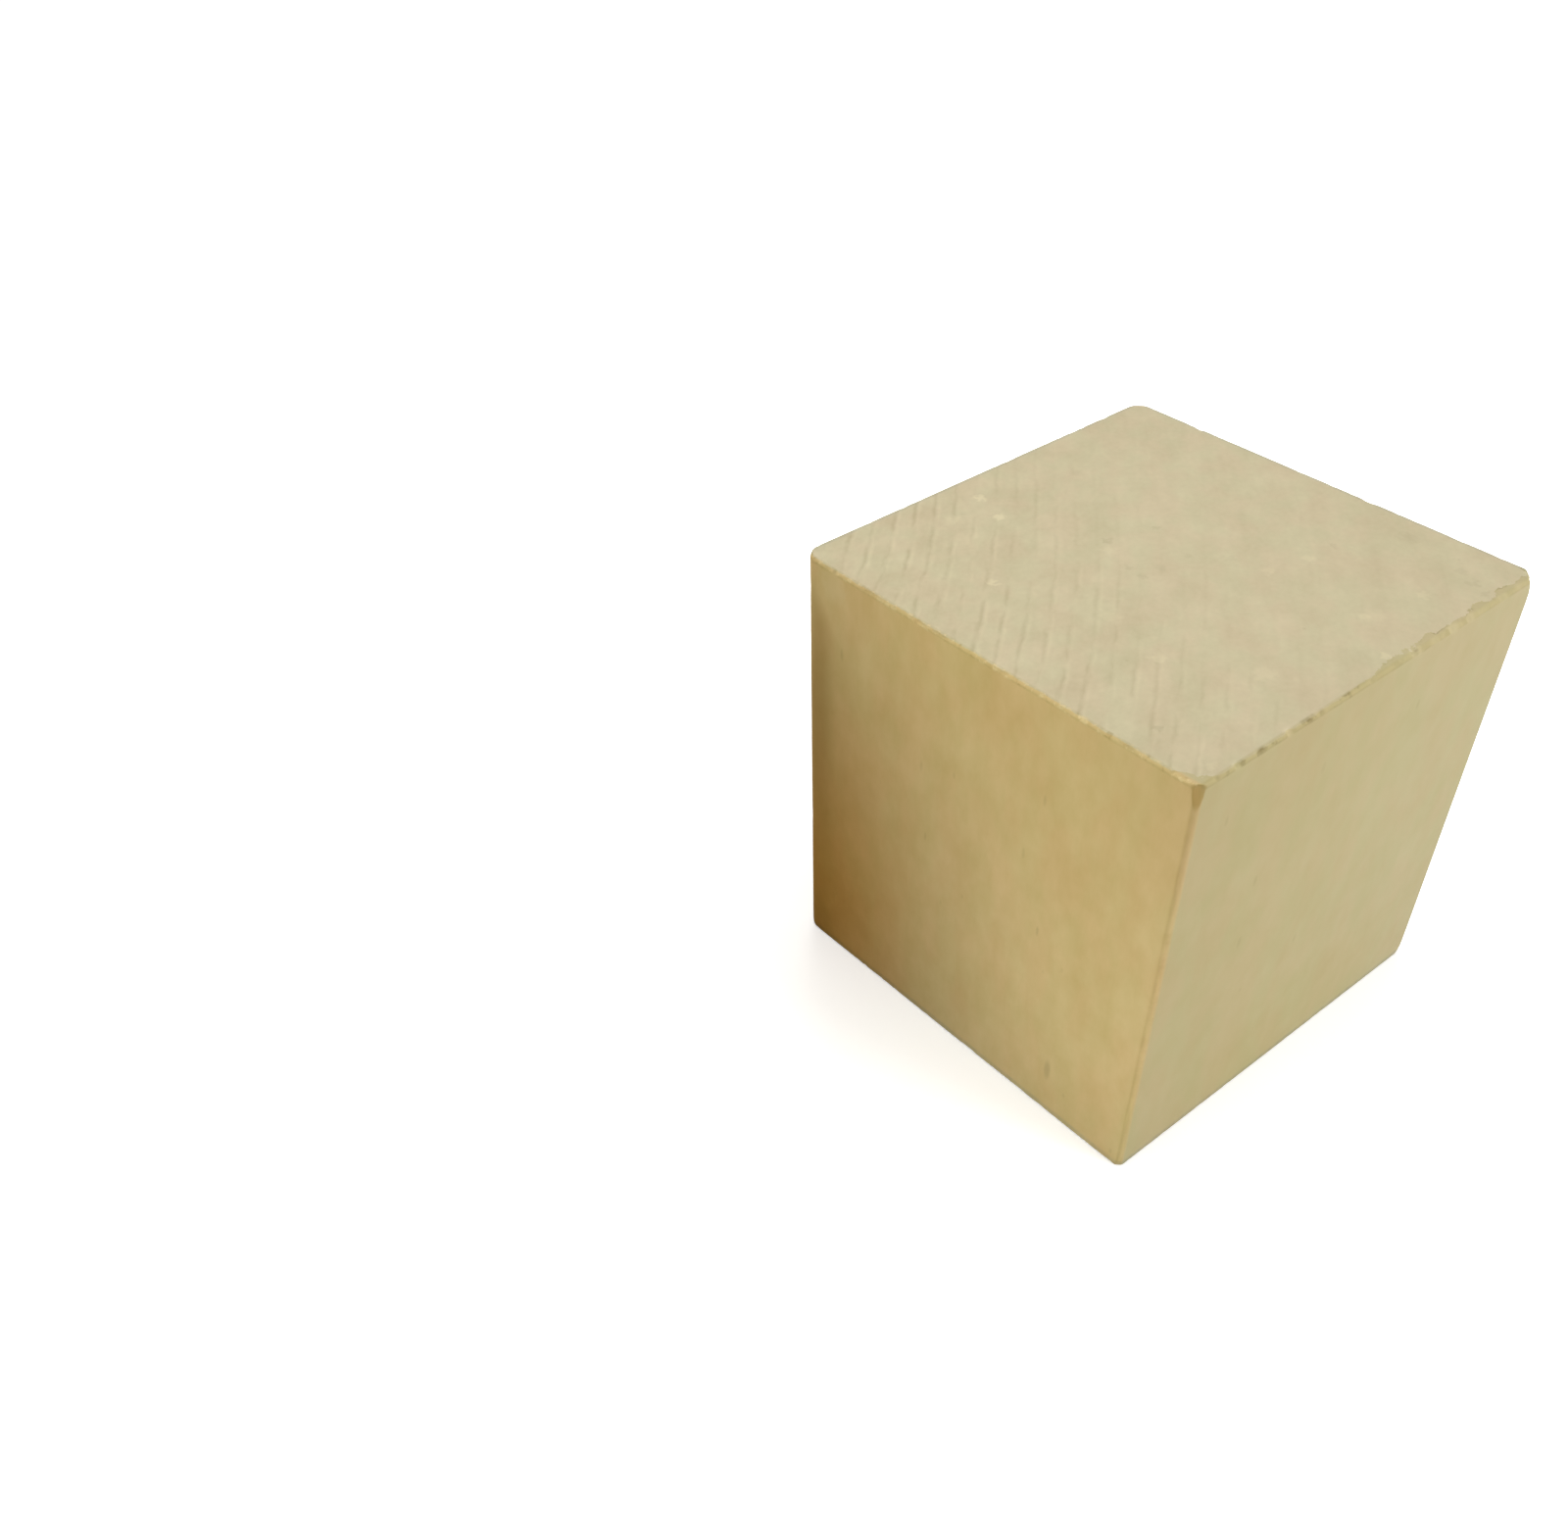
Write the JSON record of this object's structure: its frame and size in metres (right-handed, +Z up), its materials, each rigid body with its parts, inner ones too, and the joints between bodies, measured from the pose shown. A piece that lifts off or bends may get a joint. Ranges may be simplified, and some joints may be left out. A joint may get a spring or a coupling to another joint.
{
  "type": "wooden cube",
  "caption": "Solid wooden cube with sanded sides, end grain top and bottom, and lightly rounded edges.",
  "frame": {"origin": "centre of the bottom face", "axes": "+Z up along the grain, +X and +Y square to the side faces; the sharpest upright edge is between -X and -Y"},
  "size_m": [0.05, 0.05, 0.05],
  "materials": {
    "wood": "bare sanded hardwood, with fine saw marks on the end grain"
  },
  "bodies": {
    "root": {"wood_block": "wood"}
  },
  "joints": []
}
